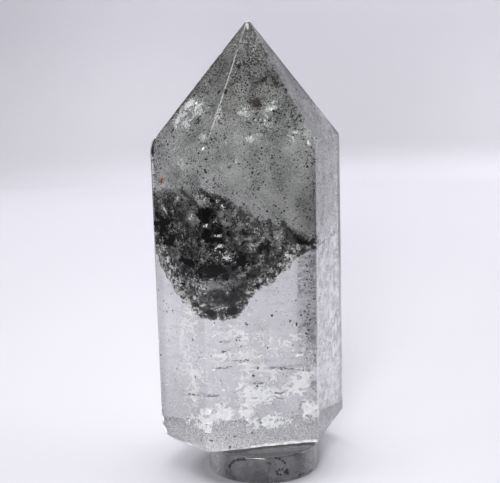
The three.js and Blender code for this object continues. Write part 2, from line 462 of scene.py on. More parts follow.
def edgeCuts():
    # flats that round every edge, each touching a round of the edge's radius
    names = list(faces)
    hidden = {"back", "backLeft", "backRight"}
    cuts, worn = [], []
    for i, j in combinations(range(len(names)), 2):
        on = sharedCorners(i, j)
        if len(on) < 2 or max(np.linalg.norm(c - on[0]) for c in on) < stone["shortest"]:
            continue
        pair = {names[i], names[j]}
        radius, steps = stone["edgeRadius"], stone["edgeSteps"]
        if "base" in pair:
            radius = stone["hiddenBaseRadius"] if pair & hidden else stone["baseRadius"]
        if pair in ({"front", "frontEnd"}, {"left", "leftEnd"}):
            radius, steps = stone["shoulderRadius"], stone["shoulderSteps"]
        if pair in stone["wornGlintEdges"]:
            radius = stone["wornGlintRadius"]
        turned = math.acos(min(1, outs[i] @ outs[j]))
        axis = on[0] - radius * (outs[i] + outs[j]) / (1 + math.cos(turned))
        for k in range(1, steps + 1):
            part = k / (steps + 1)
            normal = math.sin((1 - part) * turned) * outs[i] + math.sin(part * turned) * outs[j]
            normal = normal / np.linalg.norm(normal)
            cuts.append((normal, normal @ axis + radius))
            # the worn edges' cuts take the whitish finish, which is also a painted highlight line
            if pair in stone["wornGlintEdges"]:
                worn.append(normal)
    return cuts, worn


def cutAway(normal, distance):
    bpy.ops.mesh.select_all(action="SELECT")
    place = (corner + normal * distance) * mm
    close = stone["touching"] * mm
    bpy.ops.mesh.bisect(
        plane_co=place, plane_no=normal, use_fill=True, clear_outer=True, threshold=close
    )


chips = {
    "large": (  # place, azimuth and rise of the way out, radius, depth
        # the first, at the tip, is whitened by the chipped finish as a painted highlight
        ((10.9, 12.2, 75.2), (-30, 30), 0.7, 0.12), ((10.6, 0, 0), (0, -45), 5, 0.55),
        ((2.9, 0, 0), (0, -45), 1.6, 0.42), ((-2.6, 4.5, 0), (-60, -45), 2.6, 0.45),
        ((-6.2, 10.4, 1.4), (-90, -40), 1.1, 0.5), ((-6.4, 11, 3.2), (-90, 0), 1.0, 0.4),
        ((-6.6, 11.2, 5.4), (-90, 0), 0.8, 0.3), ((-7, 11.3, 31.4), (-90, 0), 1.2, 0.25),
        ((-7.1, 11.3, 43.8), (-90, 0), 0.9, 0.25), ((-7.2, 11.3, 49.6), (-90, 0), 1.6, 0.28),
    ),
    "baseRow": (8.8, 20.2, 0.9),  # start, end and step along the front base edge
    "baseRowShift": 0.3,
    "baseRowRadius": (1.6, 2.8),
    "baseRowDepth": (0.62, 0.85),
    "nicks": 60,
    "nickRadius": (0.35, 1.2),
    "nickDepth": (0.1, 0.24),
    "nickAlong": (0.03, 0.97),
    "fineFrom": 1.3,  # chips of a larger radius are cut finer
    "seed": 11,
}


def nickList():
    # small nicks along the polished edges, at random places
    rng = np.random.default_rng(chips["seed"])
    nicks = []
    while len(nicks) < chips["nicks"]:
        i, j = rng.choice(len(outs), 2, replace=False)
        pair = {list(faces)[i], list(faces)[j]}
        if pair in stone["smoothEdges"] or "shoulder" in pair:
            continue
        on = sharedCorners(i, j)
        if len(on) < 2:
            continue
        place = on[0] + (on[-1] - on[0]) * rng.uniform(*chips["nickAlong"])
        way = (outs[i] + outs[j]) / np.linalg.norm(outs[i] + outs[j])
        nicks.append((place, way, rng.uniform(*chips["nickRadius"]), rng.uniform(*chips["nickDepth"])))
    return nicks


def baseRow():
    # a row of chips along the front base edge
    rng = np.random.default_rng(chips["seed"] + 1)
    shift = chips["baseRowShift"]
    row = []
    for x in np.arange(*chips["baseRow"]):
        place = np.array([x + rng.uniform(-shift, shift), 0, 0])
        radius, depth = rng.uniform(*chips["baseRowRadius"]), rng.uniform(*chips["baseRowDepth"])
        row.append((place, outward(0, -45), radius, depth))
    return row


def chipCutters():
    cutters = []
    large = [(np.array(at, float), outward(*way), *sizes) for at, way, *sizes in chips["large"]]
    for at, way, radius, depth in large + baseRow() + nickList():
        middle = (corner + at + way * (radius - depth)) * mm
        clearSelection()
        steps = 4 if radius > chips["fineFrom"] else 2
        bpy.ops.mesh.primitive_ico_sphere_add(subdivisions=steps, radius=radius * mm, location=middle)
        cutters.append(bpy.context.object)
    for cutter in cutters:
        cutter.select_set(True)
    bpy.context.view_layer.objects.active = cutters[0]
    bpy.ops.object.join()
    return nameIt("chipCutters")


# Places inside the stone, in millimetres from its front left base corner.
def meshPoints(piece):
    points = np.zeros(len(piece.data.vertices) * 3, np.float32)
    piece.data.vertices.foreach_get("co", points)
    return points.reshape(-1, 3).astype(float)


def pushInside(points, skin):
    # moves points in until each lies this far inside every face
    for _ in range(4):
        for out, at in zip(outs, ats):
            over = points @ out - (at - skin)
            points = points - np.outer(np.maximum(over, 0), out)
    return points


def isInside(points, skin):
    return np.all(points @ outs.T < ats - skin, axis=1)


def randomInside(rng, count, box, skin, keep):
    # random places in a box that lie inside the stone, thinned by a chance for each place
    found = np.zeros((0, 3))
    while len(found) < count:
        tries = rng.uniform(*box, size=(4 * count, 3))
        tries = tries[isInside(tries, skin)]
        tries = tries[rng.uniform(size=len(tries)) < keep(tries)]
        found = np.concatenate([found, tries])
    return found[:count]


def seenAt(pixel, depth):
    # the place this deep under the face that the camera sees at a pixel, along the bent ray
    way = pixelWay(pixel)
    eye = np.array(view["place"]) - corner
    facing = outs @ way < 0
    reach = np.where(facing, (ats - outs @ eye) / np.where(facing, outs @ way, 1), -np.inf)
    out = outs[np.argmax(reach)]
    bent = bentIn(way, out)
    return eye + way * reach.max() + bent * depth / abs(out @ bent), out


def bentIn(way, out):
    # the way of a ray inside the stone, after a face with this way out
    cosine, ratio = -out @ way, 1 / stone["bend"]
    return ratio * way + (ratio * cosine - math.sqrt(1 - ratio**2 * (1 - cosine**2))) * out


def layUnder(places, pixel, depths):
    # shifts places so that they lie this deep under the face that is seen at a pixel
    place, out = seenAt(pixel, 0)
    return places + np.outer((place - places) @ out - depths, out)


def mirrorWay(pixel):
    # the way from a flake's flat underside that mirrors the front lamp to the camera, turned inward
    place, out = seenAt(pixel, 0)
    both = np.zeros(3)
    for other in (view["place"], softBoxes["frontBox"][0]):
        way = place + corner - np.array(other)
        both += bentIn(way / np.linalg.norm(way), out)
    return both / np.linalg.norm(both)


def alongPath(rng, pixels, depth, spread, count):
    # places scattered about a path of pixels
    path = np.array([seenAt(pixel, depth)[0] for pixel in pixels])
    at = rng.uniform(0, len(path) - 1, size=count)
    line = np.stack([np.interp(at, range(len(path)), path[:, i]) for i in range(3)], axis=1)
    return line + rng.normal(scale=spread, size=(count, 3))


def noiseAt(points, size, shift=0.0):
    return np.array([noise.noise(Vector(p) / size + Vector((shift, shift, shift))) for p in points])


def cloudLimit(points, key):
    return np.interp(points[:, 0], cloudEdge["x"], cloudEdge[key])


# The quartz's finish: clear, with milky mottling below, smoky fog above and chlorite stain at the cloud.
cloudEdge = {  # place along the front, and the cloud's lower and upper height there
    "x": (-6.4, -5.4, -3.6, -1.6, 0.9, 3.6, 6, 8, 10.4, 13, 15.4, 17.8, 20.5),
    "low": (36.5, 35.5, 30.4, 26.5, 24.6, 24.1, 24.7, 27.5, 30, 31, 34.4, 35.2, 36.2),
    "high": (45.4, 45.6, 46.4, 47, 47.5, 45.8, 44.4, 42.8, 41.2, 40.1, 39.1, 38.4, 37.9),
    "heights": (20, 50),
}
quartzLook = {
    "roughness": 0.02,
    "transmission": 0.99,
    "gloss": 0.08,
    "body": (0.8, 0.8, 0.803),
    "density": 72,
    "grain": (0.9, 5, 0.75),  # this and the next ones: a pattern's size, detail and roughness
    "middle": (3, 5, 0.65),
    "mottle": (5, 8, 0.66),
    "level": (1.5, 5, 0.6),
    "upright": (1.2, 7, 0.78),
    "smoke": (4, 8, 0.7),
    "pepper": (0.55, 4, 0.6),
    "crowds": (5, 4, 0.65),
    "gravel": (0.55, 4, 0.7),
    "torn": (1.8, 4, 0.6),
    "slanted": (2.2, 5, 0.65),
    "ragged": 2.2,  # how far a spot's edge wanders
    "clear": ((0.36, 0.87), (0.46, 0.95), (0.54, 1.0)),
    "streaks": ((0.56, 1.0), (0.68, 0.84)),
    "marks": ((0.36, 1.0), (0.45, 0.88), (0.51, 0.56), (0.58, 0.2)),
    "smoky": ((0.36, (0.55, 0.56, 0.54)), (0.48, (0.82, 0.83, 0.81)), (0.58, (0.98, 0.98, 0.97))),
    "stain": ((0.38, 0.0), (0.45, 0.16), (0.51, 0.48), (0.57, 0.9)),
    "stainPatches": ((0.4, 0.4), (0.55, 1.0)),
    "rim": (2.9, 1.7),  # the grainy rim, over the cloud's lower height
    "rimStain": ((0.38, 0.08), (0.44, 0.38), (0.5, 0.85), (0.54, 1.0)),
    "specks": (0.72, 0.76),
    "headRise": (48, 60),  # darker, with denser specks, over these heights
    "headDark": 0.09,
    "headSpecks": 0.08,
    "fogRise": (-0.5, 2.5),  # over the cloud's upper height
    "rightFace": (20.5, 21),  # the places across and back from which a look belongs to one face
    "frontFace": (0.9, 0.5),
    "leftFace": (16, 14),
    "cloudFaces": (13.5, 12),
    "cloudFoot": (0.1, 0.4),
    "cloudHead": (0.5, -2.5),
    "bandAcross": (15, 19.6),  # painted shade: the darker band beside the front right edge
    "bandHeights": (12, 22, 44, 52),
    "bandDepth": 0.6,
    "leftStrip": (2.6, 0.4),  # painted shade: the greyer strip along the left face's far edge
    "leftDepth": 0.32,
    "blackSpots": (  # seen place, and half sizes across and up
        ((163, 224), (2.2, 2.6)), ((213, 238), (2.5, 1.9)), ((205, 215), (1.1, 2.2)),
        ((216, 270), (3.6, 1.2)), ((243, 262), (1.6, 1.4)), ((222, 198), (2.4, 0.8)),
        ((304, 242.5), (2.6, 0.6)), ((287, 233), (1.4, 0.9)), ((269, 230), (0.7, 1.6)),
        ((230, 312), (1.1, 0.8)), ((210, 314), (1.6, 0.6)), ((284, 271), (0.7, 0.5)),
        ((171, 268), (0.5, 0.9)), ((171, 240), (1.6, 1.0)), ((188, 262), (1.8, 0.8)),
        ((181, 194), (0.8, 0.9)), ((192, 200), (1.0, 0.8)), ((182, 285), (0.6, 0.9)),
        ((196, 308), (0.8, 0.8)), ((259, 287), (0.8, 0.6)),
    ),
    "smudges": (
        ((284, 367), (3.6, 0.32)), ((305, 370), (1.6, 0.28)), ((258, 361), (2.0, 0.4)),
        ((222, 368), (1.3, 0.22)), ((257, 383), (1.4, 0.22)), ((278, 393), (1.0, 0.2)),
        ((204, 395), (2.6, 0.28)), ((225, 351), (1.0, 0.3)), ((226, 342), (0.9, 0.3)),
        ((237, 338), (0.9, 0.25)),
    ),
    "paleSpots": (
        ((194, 283), (4.0, 1.0)), ((222, 284), (2.4, 0.8)), ((193, 214), (1.5, 2.0)),
        ((240, 221), (2.6, 1.0)), ((180, 262), (0.9, 1.4)),
    ),
    "windows": (  # clearer spots where bright flakes lie
        ((190, 104), (1.9, 1.0)), ((180, 119), (1.4, 1.6)), ((242, 113), (0.8, 0.6)),
        ((272, 107), (0.9, 0.7)), ((254, 141), (0.6, 0.8)), ((227, 259), (0.9, 0.4)),
        ((220, 246), (0.7, 0.3)), ((217, 236), (1.2, 0.25)), ((164, 210), (0.7, 1.2)),
    ),
}


wornGlintLooks = {  # tones and clearness of whitish worn edges and chipped quartz; the worn edges and the tip chip also stand in as painted highlights
    "wornEdgeGlint": ((0.1, 0.44), 0.5),
    "chippedQuartzAndTipGlint": ((0.36, 0.6), 0.3),
}


def cloudHeight(material, across, key):
    # the cloud's lower or upper height over the place along the front
    xs, low, high = cloudEdge["x"], *cloudEdge["heights"]
    along = maths(material, "DIVIDE", maths(material, "SUBTRACT", across, xs[0]), xs[-1] - xs[0])
    node = addNode(material, "ShaderNodeFloatCurve", {"Value": along})
    curve = node.mapping.curves[0]
    for _ in xs[2:]:
        curve.points.new(0.5, 0.5)
    for point, x, z in zip(curve.points, xs, cloudEdge[key]):
        point.location = (x - xs[0]) / (xs[-1] - xs[0]), (z - low) / (high - low)
        point.handle_type = "VECTOR"
    node.mapping.update()
    return plus(material, times(material, node.outputs["Value"], high - low), low)


def wandering(material, value, amount):
    # a pattern's value turned into a shift to both sides
    return times(material, maths(material, "SUBTRACT", value, 0.5), amount)


def slantedStreaks(material, place):
    # the cloud's upper edge is drawn out in streaks that slant down to the right
    sockets = {"Vector": place, "Rotation": (0, math.radians(-50), 0)}
    turned = addNode(material, "ShaderNodeMapping", sockets).outputs["Vector"]
    drawn = stretched(material, turned, (0.4, 1.2, 1.6))
    return wandering(material, pattern(material, drawn, *quartzLook["slanted"]), 16)


def spotted(material, place, ragged, spots, depth=0.0):
    # 1 inside any of the ragged spots, 0 outside
    inside = 0.0
    for pixel, (across, up) in spots:
        reach = reachFrom(material, place, seenAt(pixel, depth)[0], (across, across, up))
        within = share(material, plus(material, reach, ragged), 1.3, 0.7)
        inside = maths(material, "MAXIMUM", inside, within)
    return inside


def cloudShares(material, place, parts):
    # how far a place lies over the cloud's lower and upper height
    overHigh = maths(material, "SUBTRACT", parts[2], cloudHeight(material, parts[0], "high"))
    overLow = maths(material, "SUBTRACT", parts[2], cloudHeight(material, parts[0], "low"))
    return plus(material, overHigh, slantedStreaks(material, place)), overLow


def clearBelow(material, place, parts, ragged):
    # the clear lower part, with faint streaks, and marks on the right face
    look = quartzLook
    clear = ramp(material, pattern(material, place, *look["mottle"]), look["clear"])
    streaks = pattern(material, stretched(material, place, (0.2, 0.2, 1.6)), *look["level"])
    clear = tinted(material, clear, ramp(material, streaks, look["streaks"]))
    upright = pattern(material, stretched(material, place, (0.5, 0.5, 0.8)), *look["upright"])
    onRight = share(material, parts[0], *look["rightFace"])
    clear = mixed(material, onRight, clear, ramp(material, upright, look["marks"]))
    smudged = spotted(material, place, ragged, look["smudges"])
    return mixed(material, times(material, smudged, 0.4), clear, grey(0.2))


def smokyAbove(material, place, parts):
    # the smoky upper part, peppered with specks
    look = quartzLook
    smoky = ramp(material, pattern(material, place, *look["smoke"]), look["smoky"])
    inHead = share(material, parts[2], *look["headRise"])
    smoky = mixed(material, times(material, inHead, look["headDark"]), smoky, grey(0.2))
    crowds = wandering(material, pattern(material, place, *look["crowds"]), 0.7)
    peppered = plus(material, pattern(material, place, *look["pepper"]), crowds)
    peppered = plus(material, peppered, times(material, inHead, look["headSpecks"]))
    return mixed(material, share(material, peppered, *look["specks"]), smoky, grey(0.03))


def stainedAtCloud(material, place, overLow, grain, middle, ragged):
    # the dark stain in front of the cloud, with a grainy rim, paler places and black ones
    look = quartzLook
    patches = ramp(material, middle, look["stainPatches"])
    stain = tinted(material, ramp(material, grain, look["stain"]), patches)
    gravel = ramp(material, pattern(material, place, *look["gravel"]), look["rimStain"])
    stain = mixed(material, share(material, overLow, *look["rim"]), stain, gravel)
    pale = times(material, spotted(material, place, ragged, look["paleSpots"]), 0.5)
    stain = mixed(material, pale, stain, (0.9, 0.9, 0.92, 1))
    torn = plus(material, ragged, wandering(material, pattern(material, place, *look["torn"]), 4))
    return mixed(material, spotted(material, place, torn, look["blackSpots"]), stain, grey(0))


def paintedEdgeShade(material, place, parts, middle):
    # painted shade: the darker band beside the front right edge and the greyer strip along the left
    # face's far edge
    look = quartzLook
    footEnd, footStart, headStart, headEnd = look["bandHeights"]
    rising = share(material, parts[2], footEnd, footStart)
    falling = share(material, parts[2], headEnd, headStart)
    onFront = share(material, parts[1], *look["frontFace"])
    across = plus(material, parts[0], wandering(material, middle, 1.6))
    across = share(material, across, *look["bandAcross"])
    band = times(material, rising, falling, onFront, across, look["bandDepth"])
    left = faces["left"]
    along = measured(material, "DOT_PRODUCT", place, left["along"])
    along = maths(material, "SUBTRACT", along, left["start"] @ left["along"])
    onLeft = share(material, parts[1], *look["leftFace"])
    strip = times(material, share(material, along, *look["leftStrip"]), onLeft, look["leftDepth"])
    return maths(material, "MAXIMUM", band, strip)


def makeQuartzMaterial():
    look = quartzLook
    material = newMaterial("polishedQuartz", {
        "Roughness": look["roughness"],
        "Transmission Weight": look["transmission"],
        "IOR": stone["bend"],
        "Specular IOR Level": look["gloss"],
    })
    addGlassBody(material, look["body"], look["density"])
    place, parts = objectSpace(material, corner)
    grain, middle = pattern(material, place, *look["grain"]), pattern(material, place, *look["middle"])
    ragged = wandering(material, grain, look["ragged"])
    overHigh, overLow = cloudShares(material, place, parts)
    clear, smoky = clearBelow(material, place, parts, ragged), smokyAbove(material, place, parts)
    colour = mixed(material, share(material, overHigh, *look["fogRise"]), clear, smoky)
    overLow = plus(material, overLow, wandering(material, grain, 3.6))
    stain = stainedAtCloud(material, place, overLow, grain, middle, ragged)
    overFoot = share(material, overLow, *look["cloudFoot"])
    underHead = share(material, overHigh, *look["cloudHead"])
    inCloud = times(material, overFoot, underHead, share(material, parts[1], *look["cloudFaces"]))
    colour = mixed(material, inCloud, colour, stain)
    windows = times(material, spotted(material, place, ragged, look["windows"]), 0.6)
    colour = mixed(material, windows, colour, grey(1))
    # painted shade near the front right and left edges darkens the colour
    return paint(material, mixed(material, paintedEdgeShade(material, place, parts, middle), colour, grey(0)))


def makeWornGlintMaterial(name, chalkTones, clear):
    # worn, ground or chipped quartz: whitish and dull, and on the worn edges and the tip chip also a
    # painted highlight
    sockets = {"Roughness": 0.45, "Transmission Weight": clear}
    sockets.update({"IOR": stone["bend"], "Specular IOR Level": 0.3})
    material = newMaterial(name, sockets)
    place = objectSpace(material, corner)[0]
    chalk = pattern(material, place, 0.7, 4, 0.7)
    return paint(material, ramp(material, chalk, tuple(zip((0.4, 0.55), chalkTones))))


def addQuartz():
    clearSelection()
    middle = Vector(corner + np.array(stone["middle"])) * mm
    bpy.ops.mesh.primitive_cube_add(size=stone["blank"] * mm, location=middle)
    quartz = nameIt("quartz")
    setPlace(quartz)
    bpy.ops.object.mode_set(mode="EDIT")
    for face in faces.values():
        cutAway(face["out"], face["at"])
    edges, wornGlintNormals = edgeCuts()
    for normal, distance in edges:
        cutAway(normal, distance)
    bpy.ops.mesh.select_all(action="SELECT")
    bpy.ops.mesh.remove_doubles(threshold=0.002 * mm)
    bpy.ops.mesh.normals_make_consistent(inside=False)
    bpy.ops.object.mode_set(mode="OBJECT")
    quartz.data.materials.clear()
    quartz.data.materials.append(makeQuartzMaterial())
    for name, look in wornGlintLooks.items():
        quartz.data.materials.append(makeWornGlintMaterial(name, *look))
    # faces on the worn edges take the whitish worn finish, also a painted highlight line
    for polygon in quartz.data.polygons:
        onWornGlint = [abs(np.array(polygon.normal) @ normal) > 0.9999 for normal in wornGlintNormals]
        polygon.material_index = int(any(onWornGlint))
    cutter = chipCutters()
    # the chips take the chipped finish, whose whiteness on the tip chip is a painted highlight
    cutter.data.materials.append(quartz.data.materials[2])
    activate(quartz)
    cut = quartz.modifiers.new("chips", "BOOLEAN")
    cut.operation, cut.object, cut.solver, cut.use_self = "DIFFERENCE", cutter, "EXACT", True
    cut.material_mode = "TRANSFER"
    applyModifiers(quartz)
    bpy.data.objects.remove(cutter)
    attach(quartz, "root")
    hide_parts("quartz_point")
    return quartz


quartz = addQuartz()
print("quartz cut:", len(quartz.data.polygons), "faces")


# The display disc: clear and slightly grey, with a turned rim.
disc = {
    "radius": 10,
    "height": 5,
    "rim": 0.3,
    "sides": 160,
    "rimSteps": 4,
    "colours": ((0.4, (0.055, 0.055, 0.059)), (0.6, (0.115, 0.115, 0.122))),
    "grain": ((0.4, 0.55), (0.6, 1.0)),
    "ends": (6.2, 9.4),  # painted light: the disc is lighter over these distances to both sides
    "endPaintedLight": (0.3, 0.3, 0.312),
    # painted light: the top and its rim are lighter
    "topPaintedLight": (0.2, 0.2, 0.212),
    "marks": (  # half width, and the seen places along each of its dark marks
        (0.2, (
            (229.6, 467), (230.5, 464.8), (232.2, 462.8), (234.5, 461),
            (237.5, 459.8), (240.5, 459.3), (244, 459),
        )),
        (0.17, ((276, 458.4), (279.5, 459), (282.8, 460.6), (284.6, 463))),
        (0.15, ((282.5, 469.4), (279.5, 469.6), (277, 471.5), (277.6, 474), (280.5, 475))),
        (0.22, ((285, 472), (287.5, 473), (286.8, 470.4))),
        (0.14, ((267.5, 462.6), (270, 463.6))),
        (0.17, ((300, 475), (303, 473.4), (311, 470.5))),
    ),
}


def onDisc(pixel):
    # the place on the disc's side that the camera sees at a pixel, in millimetres from the origin
    eye, way = np.array(view["place"]), pixelWay(pixel)
    a, b = way[:2] @ way[:2], eye[:2] @ way[:2]
    root = b * b - a * (eye[:2] @ eye[:2] - disc["radius"] ** 2)
    return eye - way * (b + math.sqrt(max(0, root))) / a


def makeDiscMaterial():
    material = newMaterial("clearDisc", {
        "Roughness": 0.14,
        "Transmission Weight": 0.5,
        "IOR": 1.49,
        "Specular IOR Level": 0.35,
    })
    place, parts = objectSpace(material)
    colour = ramp(material, pattern(material, place, 4, 5, 0.6), disc["colours"])
    # painted light: the disc is lighter towards both sides
    heading = math.radians(view["heading"])
    across = measured(material, "DOT_PRODUCT", place, (math.cos(heading), math.sin(heading), 0))
    litEnds = share(material, maths(material, "ABSOLUTE", across), *disc["ends"])
    colour = mixed(material, litEnds, colour, (*disc["endPaintedLight"], 1))
    fine = pattern(material, place, 0.4, 4, 0.7)
    colour = tinted(material, colour, ramp(material, fine, disc["grain"]))
    ragged = wandering(material, pattern(material, place, 0.8, 4, 0.7), 0.3)
    marks = 0.0
    for width, pixels in disc["marks"]:
        for pixel in pixels:
            away = plus(material, measured(material, "DISTANCE", place, onDisc(pixel)), ragged)
            marks = maths(material, "MAXIMUM", marks, share(material, away, 2.2 * width, 0.8 * width))
    colour = mixed(material, marks, colour, grey(0.004))
    # painted light on the top and its rim
    litTop = share(material, parts[2], disc["height"] - 0.1, disc["height"] - 0.02)
    return paint(material, mixed(material, litTop, colour, (*disc["topPaintedLight"], 1)))


def addDisc():
    clearSelection()
    bpy.ops.mesh.primitive_cylinder_add(
        vertices=disc["sides"],
        radius=disc["radius"] * mm,
        depth=disc["height"] * mm,
        location=(0, 0, disc["height"] * mm / 2),
    )
    stand = nameIt("disc")
    setPlace(stand)
    bpy.ops.object.mode_set(mode="EDIT")
    selectWhere(stand, "faces", lambda face: abs(face.normal.z) > 0.9)
    bpy.ops.mesh.region_to_loop()
    bpy.ops.mesh.bevel(offset=disc["rim"] * mm, segments=disc["rimSteps"], affect="EDGES")
    bpy.ops.object.mode_set(mode="OBJECT")
    bpy.ops.object.shade_smooth_by_angle(angle=math.radians(25))
    stand.data.materials.append(makeDiscMaterial())
    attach(stand, "root")
    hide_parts("display_disc")
    return stand


addDisc()
print("disc turned")


# The chlorite cloud: a rough dark body inside the quartz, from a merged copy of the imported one.
cloud = {
    "lumpSize": 1.6,
    "lumpHeight": 0.5,
    "skin": 0.35,  # least quartz over it
    "colours": ((0.37, 0.003), (0.45, 0.05), (0.52, 0.2), (0.6, 0.5), (0.68, 0.8)),
    "patches": ((0.4, 0.2), (0.58, 1.0)),
    "rimColours": ((0.42, 0.06), (0.5, 0.4), (0.58, 0.8)),
    "grain": (0.9, 6, 0.75),  # this and the next ones: a pattern's size, detail and roughness
    "middle": (3, 5, 0.65),
    "gravel": (0.6, 4, 0.7),
    "ragged": 2,
    "rim": (3, 1.5),
    "fogTone": (0.3, 0.305, 0.295, 1),
    "fogStart": (-6.5, -1),
    "greys": (  # seen places of its lighter patches, and half sizes across and up
        ((197, 283), (4.2, 1.2)), ((222, 284), (2.8, 0.9)), ((193, 215), (1.8, 2.4)),
        ((240, 222), (3.0, 1.6)), ((176, 250), (1.6, 1.6)), ((250, 246), (1.6, 0.5)),
    ),
    "greyTone": (0.42, 0.41, 0.43, 1),
    "greyShare": 0.7,
    "greyDepth": 1.7,
}


def makeCloudMaterial():
    material = newMaterial("chloriteMass", {"Roughness": 0.8, "Specular IOR Level": 0.2})
    place, parts = objectSpace(material, corner)
    grain = pattern(material, place, *cloud["grain"])
    patches = ramp(material, pattern(material, place, *cloud["middle"]), cloud["patches"])
    colour = tinted(material, ramp(material, grain, cloud["colours"]), patches)
    ragged = wandering(material, grain, cloud["ragged"])
    greys = spotted(material, place, ragged, cloud["greys"], cloud["greyDepth"])
    colour = mixed(material, times(material, greys, cloud["greyShare"]), colour, cloud["greyTone"])
    overHigh, overLow = cloudShares(material, place, parts)
    pale = ramp(material, pattern(material, place, *cloud["gravel"]), cloud["rimColours"])
    colour = mixed(material, share(material, overLow, *cloud["rim"]), colour, pale)
    fogged = share(material, overHigh, *cloud["fogStart"])
    return paint(material, mixed(material, fogged, colour, cloud["fogTone"]))


def addCloud():
    activate(frame["nodes"]["chlorite_cloud"])
    bpy.ops.object.duplicate()
    body = nameIt("chloriteCloud")
    for key in list(body.keys()):
        if key.startswith("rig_"):
            del body[key]
    body.parent = None
    bpy.ops.object.mode_set(mode="EDIT")
    bpy.ops.mesh.select_all(action="SELECT")
    bpy.ops.mesh.remove_doubles(threshold=0.001 * mm)
    bpy.ops.object.mode_set(mode="OBJECT")
    fine = body.modifiers.new("fine", "REMESH")
    fine.mode, fine.voxel_size = "VOXEL", 0.3 * mm
    lumps = bpy.data.textures.new("lumps", "CLOUDS")
    lumps.noise_scale = cloud["lumpSize"] * mm
    lumps.noise_depth = 3
    rough = body.modifiers.new("rough", "DISPLACE")
    rough.texture, rough.strength, rough.mid_level = lumps, cloud["lumpHeight"] * mm * 2, 0.5
    rough.texture_coords = "LOCAL"
    applyModifiers(body)
    points = pushInside(meshPoints(body) / mm - corner, cloud["skin"])
    body.data.vertices.foreach_set("co", ((points + corner) * mm).astype(np.float32).ravel())
    body.data.materials.clear()
    body.data.materials.append(makeCloudMaterial())
    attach(body, "root")
    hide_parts("chlorite_cloud")
    return body


cloudBody = addCloud()
print("cloud body:", len(cloudBody.data.polygons), "faces")


# Grains and flakes inside the quartz: each is one small shape, copied in one joined mesh.
def shapeOf(piece):
    points = meshPoints(piece)
    sides = [list(polygon.vertices) for polygon in piece.data.polygons]
    bpy.data.objects.remove(piece)
    return points, np.array(sides)


def modelGrain():
    # an uneven four-faced grain one unit across
    clearSelection()
    bpy.ops.mesh.primitive_cone_add(vertices=3, radius1=0.55, depth=0.85, location=(0, 0, 0))
    return shapeOf(nameIt("grainShape"))


def modelFlake():
    # a thin three-cornered flake one unit across
    clearSelection()
    bpy.ops.mesh.primitive_cone_add(vertices=3, radius1=0.6, depth=0.12, location=(0, 0, 0))
    return shapeOf(nameIt("flakeShape"))


def modelLump():
    # a rounder grain for what is seen one by one
    clearSelection()
    bpy.ops.mesh.primitive_ico_sphere_add(subdivisions=1, radius=0.5, location=(0, 0, 0))
    return shapeOf(nameIt("lumpShape"))


grainShape, flakeShape, lumpShape = modelGrain(), modelFlake(), modelLump()

toneList = {  # colour, roughness and how metal-like: cracks that hold gas mirror light
    "chloriteBlack": ((0.004, 0.004, 0.004), 0.6, 0),
    "chloriteGrey": ((0.06, 0.062, 0.06), 0.6, 0),
    "fogGrey": ((0.38, 0.384, 0.378), 0.7, 0),
    "fogPale": ((0.68, 0.684, 0.678), 0.7, 0),
    "veilWhite": ((0.9, 0.905, 0.92), 0.5, 0),
    "silver": ((0.95, 0.95, 0.96), 0.55, 0.9),
    "sparkle": ((0.97, 0.97, 0.98), 0.42, 1),
    "rustBrown": ((0.05, 0.016, 0.009), 0.7, 0),
    "rustOrange": ((0.36, 0.12, 0.04), 0.7, 0),
}
tones = {
    name: newMaterial(name, {"Base Color": (*colour, 1), "Roughness": rough, "Metallic": metal})
    for name, (colour, rough, metal) in toneList.items()
}
toneNumbers = {name: i for i, name in enumerate(tones)}


def randomTurns(rng, count):
    q = rng.normal(size=(count, 4))
    w, x, y, z = (q / np.linalg.norm(q, axis=1, keepdims=True)).T
    return np.array([
        [1 - 2 * (y * y + z * z), 2 * (x * y - z * w), 2 * (x * z + y * w)],
        [2 * (x * y + z * w), 1 - 2 * (x * x + z * z), 2 * (y * z - x * w)],
        [2 * (x * z - y * w), 2 * (y * z + x * w), 1 - 2 * (x * x + y * y)],
    ]).transpose(2, 0, 1)


def facingTurns(rng, count, normal, scatter):
    # turns that lay a flake's flat side near one plane
    up = np.array(normal, float) + rng.normal(scale=scatter, size=(count, 3))
    up /= np.linalg.norm(up, axis=1, keepdims=True)
    side = np.cross(up, rng.normal(size=(count, 3)))
    side /= np.linalg.norm(side, axis=1, keepdims=True)
    return np.stack([side, np.cross(up, side), up], axis=2)


def linedTurns(rng, count, along, normal, scatter):
    # turns that point a shape's length along a line
    side = np.array(along, float) + rng.normal(scale=scatter, size=(count, 3))
    side /= np.linalg.norm(side, axis=1, keepdims=True)
    up = np.cross(side, np.cross(normal, side))
    up /= np.linalg.norm(up, axis=1, keepdims=True)
    return np.stack([side, np.cross(up, side), up], axis=2)


def pickTones(rng, places, toneShares, patch):
    # tones by their shares: in patches about this many millimetres across, or at random
    value = rng.uniform(size=len(places))
    if patch:
        value = noiseAt(places, patch, 30) + rng.normal(scale=0.12, size=len(places))
    rank = np.argsort(np.argsort(value)) / max(1, len(places))
    limits = np.cumsum(list(toneShares.values())) / sum(toneShares.values())
    return np.array([toneNumbers[name] for name in toneShares])[np.searchsorted(limits[:-1], rank)]


def lotOf(rng, places, sizes, toneShares, turns=None, stretch=(1, 1, 1), patch=0):
    low, high = sizes
    sizes = low + (high - low) * rng.uniform(size=len(places)) ** 2
    picked = pickTones(rng, places, toneShares, patch)
    return {"places": places, "sizes": sizes, "tones": picked, "turns": turns, "stretch": stretch}


